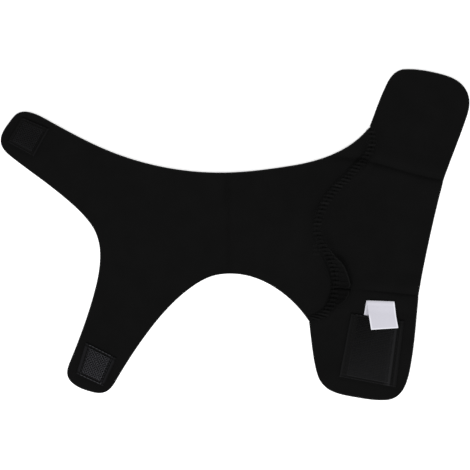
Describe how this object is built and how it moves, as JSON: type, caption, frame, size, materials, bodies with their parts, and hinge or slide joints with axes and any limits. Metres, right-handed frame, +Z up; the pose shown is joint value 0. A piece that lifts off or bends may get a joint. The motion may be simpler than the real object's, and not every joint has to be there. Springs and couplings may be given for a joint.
{
  "type": "ankle brace",
  "caption": "Wrap-around ankle brace of black neoprene laminate, laid open flat with its inside up: forked instep straps, ankle flaps, a curved heel seam, hook tapes and a blank folded label.",
  "frame": {"origin": "middle of the laid-out brace, on the surface it lies on", "axes": "+X from the instep straps to the ankle flaps, +Y towards the upper ankle flap, +Z up out of the inside face"},
  "size_m": [0.3371, 0.2376, 0.0128],
  "materials": {
    "laminate": "matte knit bonded to both faces of neoprene foam",
    "hook_tape": "woven nylon tape with cut hooks",
    "label": "white woven ribbon"
  },
  "bodies": {
    "root": {"foot_panel": "laminate", "ankle_panel": "laminate", "instep_hook_upper": "hook_tape", "instep_hook_lower": "hook_tape", "ankle_hook": "hook_tape", "care_label": "label"}
  },
  "joints": []
}
